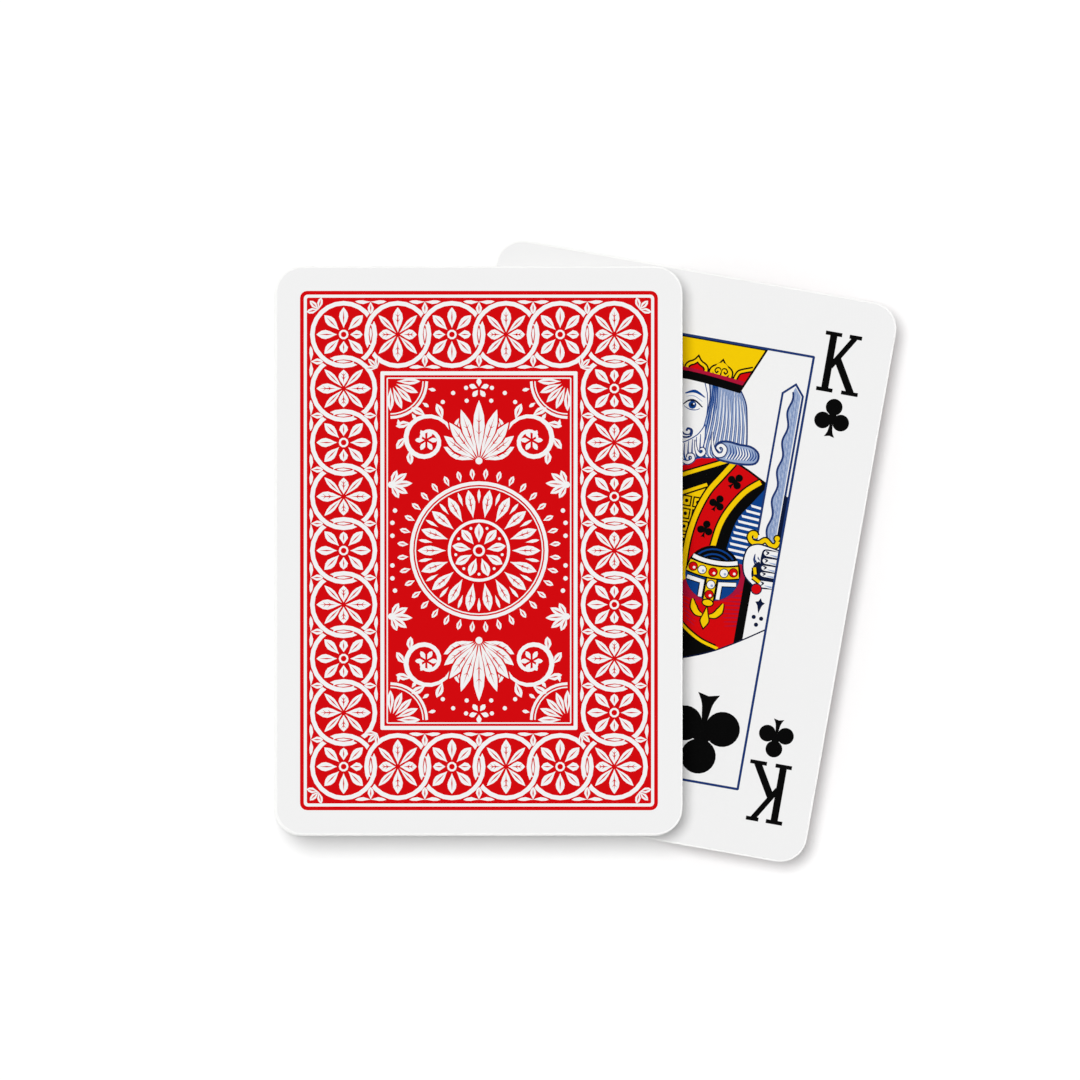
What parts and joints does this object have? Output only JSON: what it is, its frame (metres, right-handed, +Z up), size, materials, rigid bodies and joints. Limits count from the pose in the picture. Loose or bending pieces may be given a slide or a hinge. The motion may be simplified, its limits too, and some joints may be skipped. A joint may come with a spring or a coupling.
{
  "type": "deck of playing cards",
  "caption": "Poker-size pack of playing cards, squared face down, that fans about its near edge, with a king drawn out face up and a top card that deals off.",
  "frame": {"origin": "middle of the pack's underside, on the table", "axes": "+Z up through the pack, +X across the cards towards the drawn king, +Y along the cards towards their far short edge"},
  "size_m": [0.0964, 0.0962, 0.0167],
  "materials": {
    "red_back": "coated card stock, red and white printed back",
    "white_face": "coated card stock, white printed face"
  },
  "bodies": {
    "black_joker": {"black_joker": "red_back"},
    "red_joker": {"red_joker": "red_back"},
    "ace_of_hearts": {"ace_of_hearts": "red_back"},
    "two_of_hearts": {"two_of_hearts": "red_back"},
    "three_of_hearts": {"three_of_hearts": "red_back"},
    "four_of_hearts": {"four_of_hearts": "red_back"},
    "five_of_hearts": {"five_of_hearts": "red_back"},
    "six_of_hearts": {"six_of_hearts": "red_back"},
    "seven_of_hearts": {"seven_of_hearts": "red_back"},
    "eight_of_hearts": {"eight_of_hearts": "red_back"},
    "nine_of_hearts": {"nine_of_hearts": "red_back"},
    "ten_of_hearts": {"ten_of_hearts": "red_back"},
    "jack_of_hearts": {"jack_of_hearts": "red_back"},
    "queen_of_hearts": {"queen_of_hearts": "red_back"},
    "king_of_hearts": {"king_of_hearts": "red_back"},
    "ace_of_clubs": {"ace_of_clubs": "red_back"},
    "two_of_clubs": {"two_of_clubs": "red_back"},
    "three_of_clubs": {"three_of_clubs": "red_back"},
    "four_of_clubs": {"four_of_clubs": "red_back"},
    "five_of_clubs": {"five_of_clubs": "red_back"},
    "six_of_clubs": {"six_of_clubs": "red_back"},
    "seven_of_clubs": {"seven_of_clubs": "red_back"},
    "eight_of_clubs": {"eight_of_clubs": "red_back"},
    "nine_of_clubs": {"nine_of_clubs": "red_back"},
    "ten_of_clubs": {"ten_of_clubs": "red_back"},
    "jack_of_clubs": {"jack_of_clubs": "red_back"},
    "queen_of_clubs": {"queen_of_clubs": "red_back"},
    "king_of_clubs": {"king_of_clubs": "white_face"},
    "king_of_diamonds": {"king_of_diamonds": "red_back"},
    "queen_of_diamonds": {"queen_of_diamonds": "red_back"},
    "jack_of_diamonds": {"jack_of_diamonds": "red_back"},
    "ten_of_diamonds": {"ten_of_diamonds": "red_back"},
    "nine_of_diamonds": {"nine_of_diamonds": "red_back"},
    "eight_of_diamonds": {"eight_of_diamonds": "red_back"},
    "seven_of_diamonds": {"seven_of_diamonds": "red_back"},
    "six_of_diamonds": {"six_of_diamonds": "red_back"},
    "five_of_diamonds": {"five_of_diamonds": "red_back"},
    "four_of_diamonds": {"four_of_diamonds": "red_back"},
    "three_of_diamonds": {"three_of_diamonds": "red_back"},
    "two_of_diamonds": {"two_of_diamonds": "red_back"},
    "ace_of_diamonds": {"ace_of_diamonds": "red_back"},
    "king_of_spades": {"king_of_spades": "red_back"},
    "queen_of_spades": {"queen_of_spades": "red_back"},
    "jack_of_spades": {"jack_of_spades": "red_back"},
    "ten_of_spades": {"ten_of_spades": "red_back"},
    "nine_of_spades": {"nine_of_spades": "red_back"},
    "eight_of_spades": {"eight_of_spades": "red_back"},
    "seven_of_spades": {"seven_of_spades": "red_back"},
    "six_of_spades": {"six_of_spades": "red_back"},
    "five_of_spades": {"five_of_spades": "red_back"},
    "four_of_spades": {"four_of_spades": "red_back"},
    "three_of_spades": {"three_of_spades": "red_back"},
    "two_of_spades": {"two_of_spades": "red_back"},
    "ace_of_spades": {"ace_of_spades": "red_back"}
  },
  "joints": [
    {"name": "fan_two_of_spades", "type": "hinge", "parent": "black_joker", "child": "two_of_spades", "pos_m": [0, -0.035, 0.01627], "axis": [0, 0, 1], "range_deg": [0, 110]},
    {"name": "fan_red_joker", "type": "hinge", "parent": "black_joker", "child": "red_joker", "pos_m": [0, -0.035, 0.00046], "axis": [0, 0, 1], "range_deg": [0, 2.12]},
    {"name": "fan_ace_of_hearts", "type": "hinge", "parent": "black_joker", "child": "ace_of_hearts", "pos_m": [0, -0.035, 0.00076], "axis": [0, 0, 1], "range_deg": [0, 4.24]},
    {"name": "fan_two_of_hearts", "type": "hinge", "parent": "black_joker", "child": "two_of_hearts", "pos_m": [0, -0.035, 0.00108], "axis": [0, 0, 1], "range_deg": [0, 6.36]},
    {"name": "fan_three_of_hearts", "type": "hinge", "parent": "black_joker", "child": "three_of_hearts", "pos_m": [0, -0.035, 0.00138], "axis": [0, 0, 1], "range_deg": [0, 8.47]},
    {"name": "fan_four_of_hearts", "type": "hinge", "parent": "black_joker", "child": "four_of_hearts", "pos_m": [0, -0.035, 0.00169], "axis": [0, 0, 1], "range_deg": [0, 10.59]},
    {"name": "fan_five_of_hearts", "type": "hinge", "parent": "black_joker", "child": "five_of_hearts", "pos_m": [0, -0.035, 0.002], "axis": [0, 0, 1], "range_deg": [0, 12.7]},
    {"name": "fan_six_of_hearts", "type": "hinge", "parent": "black_joker", "child": "six_of_hearts", "pos_m": [0, -0.035, 0.00231], "axis": [0, 0, 1], "range_deg": [0, 14.82]},
    {"name": "fan_seven_of_hearts", "type": "hinge", "parent": "black_joker", "child": "seven_of_hearts", "pos_m": [0, -0.035, 0.00263], "axis": [0, 0, 1], "range_deg": [0, 16.93]},
    {"name": "fan_eight_of_hearts", "type": "hinge", "parent": "black_joker", "child": "eight_of_hearts", "pos_m": [0, -0.035, 0.00294], "axis": [0, 0, 1], "range_deg": [0, 19.05]},
    {"name": "fan_nine_of_hearts", "type": "hinge", "parent": "black_joker", "child": "nine_of_hearts", "pos_m": [0, -0.035, 0.00325], "axis": [0, 0, 1], "range_deg": [0, 21.16]},
    {"name": "fan_ten_of_hearts", "type": "hinge", "parent": "black_joker", "child": "ten_of_hearts", "pos_m": [0, -0.035, 0.00356], "axis": [0, 0, 1], "range_deg": [0, 23.28]},
    {"name": "fan_jack_of_hearts", "type": "hinge", "parent": "black_joker", "child": "jack_of_hearts", "pos_m": [0, -0.035, 0.00386], "axis": [0, 0, 1], "range_deg": [0, 25.39]},
    {"name": "fan_queen_of_hearts", "type": "hinge", "parent": "black_joker", "child": "queen_of_hearts", "pos_m": [0, -0.035, 0.00417], "axis": [0, 0, 1], "range_deg": [0, 27.51]},
    {"name": "fan_king_of_hearts", "type": "hinge", "parent": "black_joker", "child": "king_of_hearts", "pos_m": [0, -0.035, 0.00449], "axis": [0, 0, 1], "range_deg": [0, 29.62]},
    {"name": "fan_ace_of_clubs", "type": "hinge", "parent": "black_joker", "child": "ace_of_clubs", "pos_m": [0, -0.035, 0.00479], "axis": [0, 0, 1], "range_deg": [0, 31.74]},
    {"name": "fan_two_of_clubs", "type": "hinge", "parent": "black_joker", "child": "two_of_clubs", "pos_m": [0, -0.035, 0.00511], "axis": [0, 0, 1], "range_deg": [0, 33.86]},
    {"name": "fan_three_of_clubs", "type": "hinge", "parent": "black_joker", "child": "three_of_clubs", "pos_m": [0, -0.035, 0.00541], "axis": [0, 0, 1], "range_deg": [0, 35.97]},
    {"name": "fan_four_of_clubs", "type": "hinge", "parent": "black_joker", "child": "four_of_clubs", "pos_m": [0, -0.035, 0.00573], "axis": [0, 0, 1], "range_deg": [0, 38.09]},
    {"name": "fan_five_of_clubs", "type": "hinge", "parent": "black_joker", "child": "five_of_clubs", "pos_m": [0, -0.035, 0.00604], "axis": [0, 0, 1], "range_deg": [0, 40.2]},
    {"name": "fan_six_of_clubs", "type": "hinge", "parent": "black_joker", "child": "six_of_clubs", "pos_m": [0, -0.035, 0.00634], "axis": [0, 0, 1], "range_deg": [0, 42.32]},
    {"name": "fan_seven_of_clubs", "type": "hinge", "parent": "black_joker", "child": "seven_of_clubs", "pos_m": [0, -0.035, 0.00666], "axis": [0, 0, 1], "range_deg": [0, 44.43]},
    {"name": "fan_eight_of_clubs", "type": "hinge", "parent": "black_joker", "child": "eight_of_clubs", "pos_m": [0, -0.035, 0.00696], "axis": [0, 0, 1], "range_deg": [0, 46.55]},
    {"name": "fan_nine_of_clubs", "type": "hinge", "parent": "black_joker", "child": "nine_of_clubs", "pos_m": [0, -0.035, 0.00728], "axis": [0, 0, 1], "range_deg": [0, 48.66]},
    {"name": "fan_ten_of_clubs", "type": "hinge", "parent": "black_joker", "child": "ten_of_clubs", "pos_m": [0, -0.035, 0.00758], "axis": [0, 0, 1], "range_deg": [0, 50.78]},
    {"name": "fan_jack_of_clubs", "type": "hinge", "parent": "black_joker", "child": "jack_of_clubs", "pos_m": [0, -0.035, 0.00789], "axis": [0, 0, 1], "range_deg": [0, 52.9]},
    {"name": "fan_queen_of_clubs", "type": "hinge", "parent": "black_joker", "child": "queen_of_clubs", "pos_m": [0, -0.035, 0.00821], "axis": [0, 0, 1], "range_deg": [0, 55.01]},
    {"name": "fan_king_of_diamonds", "type": "hinge", "parent": "black_joker", "child": "king_of_diamonds", "pos_m": [0, -0.035, 0.00882], "axis": [0, 0, 1], "range_deg": [0, 59.24]},
    {"name": "fan_queen_of_diamonds", "type": "hinge", "parent": "black_joker", "child": "queen_of_diamonds", "pos_m": [0, -0.035, 0.00914], "axis": [0, 0, 1], "range_deg": [0, 61.36]},
    {"name": "fan_jack_of_diamonds", "type": "hinge", "parent": "black_joker", "child": "jack_of_diamonds", "pos_m": [0, -0.035, 0.00945], "axis": [0, 0, 1], "range_deg": [0, 63.47]},
    {"name": "fan_ten_of_diamonds", "type": "hinge", "parent": "black_joker", "child": "ten_of_diamonds", "pos_m": [0, -0.035, 0.00975], "axis": [0, 0, 1], "range_deg": [0, 65.59]},
    {"name": "fan_nine_of_diamonds", "type": "hinge", "parent": "black_joker", "child": "nine_of_diamonds", "pos_m": [0, -0.035, 0.01006], "axis": [0, 0, 1], "range_deg": [0, 67.7]},
    {"name": "fan_eight_of_diamonds", "type": "hinge", "parent": "black_joker", "child": "eight_of_diamonds", "pos_m": [0, -0.035, 0.01038], "axis": [0, 0, 1], "range_deg": [0, 69.82]},
    {"name": "fan_seven_of_diamonds", "type": "hinge", "parent": "black_joker", "child": "seven_of_diamonds", "pos_m": [0, -0.035, 0.01069], "axis": [0, 0, 1], "range_deg": [0, 71.93]},
    {"name": "fan_six_of_diamonds", "type": "hinge", "parent": "black_joker", "child": "six_of_diamonds", "pos_m": [0, -0.035, 0.01099], "axis": [0, 0, 1], "range_deg": [0, 74.05]},
    {"name": "fan_five_of_diamonds", "type": "hinge", "parent": "black_joker", "child": "five_of_diamonds", "pos_m": [0, -0.035, 0.01131], "axis": [0, 0, 1], "range_deg": [0, 76.16]},
    {"name": "fan_four_of_diamonds", "type": "hinge", "parent": "black_joker", "child": "four_of_diamonds", "pos_m": [0, -0.035, 0.01162], "axis": [0, 0, 1], "range_deg": [0, 78.28]},
    {"name": "fan_three_of_diamonds", "type": "hinge", "parent": "black_joker", "child": "three_of_diamonds", "pos_m": [0, -0.035, 0.01192], "axis": [0, 0, 1], "range_deg": [0, 80.39]},
    {"name": "fan_two_of_diamonds", "type": "hinge", "parent": "black_joker", "child": "two_of_diamonds", "pos_m": [0, -0.035, 0.01223], "axis": [0, 0, 1], "range_deg": [0, 82.51]},
    {"name": "fan_ace_of_diamonds", "type": "hinge", "parent": "black_joker", "child": "ace_of_diamonds", "pos_m": [0, -0.035, 0.01255], "axis": [0, 0, 1], "range_deg": [0, 84.62]},
    {"name": "fan_king_of_spades", "type": "hinge", "parent": "black_joker", "child": "king_of_spades", "pos_m": [0, -0.035, 0.01286], "axis": [0, 0, 1], "range_deg": [0, 86.74]},
    {"name": "fan_queen_of_spades", "type": "hinge", "parent": "black_joker", "child": "queen_of_spades", "pos_m": [0, -0.035, 0.01316], "axis": [0, 0, 1], "range_deg": [0, 88.86]},
    {"name": "fan_jack_of_spades", "type": "hinge", "parent": "black_joker", "child": "jack_of_spades", "pos_m": [0, -0.035, 0.01348], "axis": [0, 0, 1], "range_deg": [0, 90.97]},
    {"name": "fan_ten_of_spades", "type": "hinge", "parent": "black_joker", "child": "ten_of_spades", "pos_m": [0, -0.035, 0.01379], "axis": [0, 0, 1], "range_deg": [0, 93.09]},
    {"name": "fan_nine_of_spades", "type": "hinge", "parent": "black_joker", "child": "nine_of_spades", "pos_m": [0, -0.035, 0.01409], "axis": [0, 0, 1], "range_deg": [0, 95.2]},
    {"name": "fan_eight_of_spades", "type": "hinge", "parent": "black_joker", "child": "eight_of_spades", "pos_m": [0, -0.035, 0.0144], "axis": [0, 0, 1], "range_deg": [0, 97.32]},
    {"name": "fan_seven_of_spades", "type": "hinge", "parent": "black_joker", "child": "seven_of_spades", "pos_m": [0, -0.035, 0.01472], "axis": [0, 0, 1], "range_deg": [0, 99.43]},
    {"name": "fan_six_of_spades", "type": "hinge", "parent": "black_joker", "child": "six_of_spades", "pos_m": [0, -0.035, 0.01503], "axis": [0, 0, 1], "range_deg": [0, 101.55]},
    {"name": "fan_five_of_spades", "type": "hinge", "parent": "black_joker", "child": "five_of_spades", "pos_m": [0, -0.035, 0.01533], "axis": [0, 0, 1], "range_deg": [0, 103.66]},
    {"name": "fan_four_of_spades", "type": "hinge", "parent": "black_joker", "child": "four_of_spades", "pos_m": [0, -0.035, 0.01564], "axis": [0, 0, 1], "range_deg": [0, 105.78]},
    {"name": "fan_three_of_spades", "type": "hinge", "parent": "black_joker", "child": "three_of_spades", "pos_m": [0, -0.035, 0.01596], "axis": [0, 0, 1], "range_deg": [0, 107.89]},
    {"name": "king_draw", "type": "slide", "parent": "queen_of_clubs", "child": "king_of_clubs", "axis": [1, 0, 0], "range_m": [-0.0268, 0.025]},
    {"name": "top_card_deal", "type": "slide", "parent": "two_of_spades", "child": "ace_of_spades", "axis": [-1, 0, 0], "range_m": [0, 0.03]}
  ],
  "couplings": [
    {"joint": "fan_red_joker", "follows": "fan_two_of_spades", "ratio": 0.019231},
    {"joint": "fan_ace_of_hearts", "follows": "fan_two_of_spades", "ratio": 0.038462},
    {"joint": "fan_two_of_hearts", "follows": "fan_two_of_spades", "ratio": 0.057692},
    {"joint": "fan_three_of_hearts", "follows": "fan_two_of_spades", "ratio": 0.076923},
    {"joint": "fan_four_of_hearts", "follows": "fan_two_of_spades", "ratio": 0.096154},
    {"joint": "fan_five_of_hearts", "follows": "fan_two_of_spades", "ratio": 0.11539},
    {"joint": "fan_six_of_hearts", "follows": "fan_two_of_spades", "ratio": 0.13462},
    {"joint": "fan_seven_of_hearts", "follows": "fan_two_of_spades", "ratio": 0.15385},
    {"joint": "fan_eight_of_hearts", "follows": "fan_two_of_spades", "ratio": 0.17308},
    {"joint": "fan_nine_of_hearts", "follows": "fan_two_of_spades", "ratio": 0.19231},
    {"joint": "fan_ten_of_hearts", "follows": "fan_two_of_spades", "ratio": 0.21154},
    {"joint": "fan_jack_of_hearts", "follows": "fan_two_of_spades", "ratio": 0.23077},
    {"joint": "fan_queen_of_hearts", "follows": "fan_two_of_spades", "ratio": 0.25},
    {"joint": "fan_king_of_hearts", "follows": "fan_two_of_spades", "ratio": 0.26923},
    {"joint": "fan_ace_of_clubs", "follows": "fan_two_of_spades", "ratio": 0.28846},
    {"joint": "fan_two_of_clubs", "follows": "fan_two_of_spades", "ratio": 0.30769},
    {"joint": "fan_three_of_clubs", "follows": "fan_two_of_spades", "ratio": 0.32692},
    {"joint": "fan_four_of_clubs", "follows": "fan_two_of_spades", "ratio": 0.34615},
    {"joint": "fan_five_of_clubs", "follows": "fan_two_of_spades", "ratio": 0.36539},
    {"joint": "fan_six_of_clubs", "follows": "fan_two_of_spades", "ratio": 0.38461},
    {"joint": "fan_seven_of_clubs", "follows": "fan_two_of_spades", "ratio": 0.40385},
    {"joint": "fan_eight_of_clubs", "follows": "fan_two_of_spades", "ratio": 0.42308},
    {"joint": "fan_nine_of_clubs", "follows": "fan_two_of_spades", "ratio": 0.44231},
    {"joint": "fan_ten_of_clubs", "follows": "fan_two_of_spades", "ratio": 0.46154},
    {"joint": "fan_jack_of_clubs", "follows": "fan_two_of_spades", "ratio": 0.48077},
    {"joint": "fan_queen_of_clubs", "follows": "fan_two_of_spades", "ratio": 0.5},
    {"joint": "fan_king_of_diamonds", "follows": "fan_two_of_spades", "ratio": 0.53846},
    {"joint": "fan_queen_of_diamonds", "follows": "fan_two_of_spades", "ratio": 0.55769},
    {"joint": "fan_jack_of_diamonds", "follows": "fan_two_of_spades", "ratio": 0.57692},
    {"joint": "fan_ten_of_diamonds", "follows": "fan_two_of_spades", "ratio": 0.59615},
    {"joint": "fan_nine_of_diamonds", "follows": "fan_two_of_spades", "ratio": 0.61538},
    {"joint": "fan_eight_of_diamonds", "follows": "fan_two_of_spades", "ratio": 0.63462},
    {"joint": "fan_seven_of_diamonds", "follows": "fan_two_of_spades", "ratio": 0.65385},
    {"joint": "fan_six_of_diamonds", "follows": "fan_two_of_spades", "ratio": 0.67308},
    {"joint": "fan_five_of_diamonds", "follows": "fan_two_of_spades", "ratio": 0.69231},
    {"joint": "fan_four_of_diamonds", "follows": "fan_two_of_spades", "ratio": 0.71154},
    {"joint": "fan_three_of_diamonds", "follows": "fan_two_of_spades", "ratio": 0.73077},
    {"joint": "fan_two_of_diamonds", "follows": "fan_two_of_spades", "ratio": 0.75},
    {"joint": "fan_ace_of_diamonds", "follows": "fan_two_of_spades", "ratio": 0.76923},
    {"joint": "fan_king_of_spades", "follows": "fan_two_of_spades", "ratio": 0.78846},
    {"joint": "fan_queen_of_spades", "follows": "fan_two_of_spades", "ratio": 0.80769},
    {"joint": "fan_jack_of_spades", "follows": "fan_two_of_spades", "ratio": 0.82692},
    {"joint": "fan_ten_of_spades", "follows": "fan_two_of_spades", "ratio": 0.84615},
    {"joint": "fan_nine_of_spades", "follows": "fan_two_of_spades", "ratio": 0.86538},
    {"joint": "fan_eight_of_spades", "follows": "fan_two_of_spades", "ratio": 0.88462},
    {"joint": "fan_seven_of_spades", "follows": "fan_two_of_spades", "ratio": 0.90385},
    {"joint": "fan_six_of_spades", "follows": "fan_two_of_spades", "ratio": 0.92308},
    {"joint": "fan_five_of_spades", "follows": "fan_two_of_spades", "ratio": 0.94231},
    {"joint": "fan_four_of_spades", "follows": "fan_two_of_spades", "ratio": 0.96154},
    {"joint": "fan_three_of_spades", "follows": "fan_two_of_spades", "ratio": 0.98077}
  ]
}
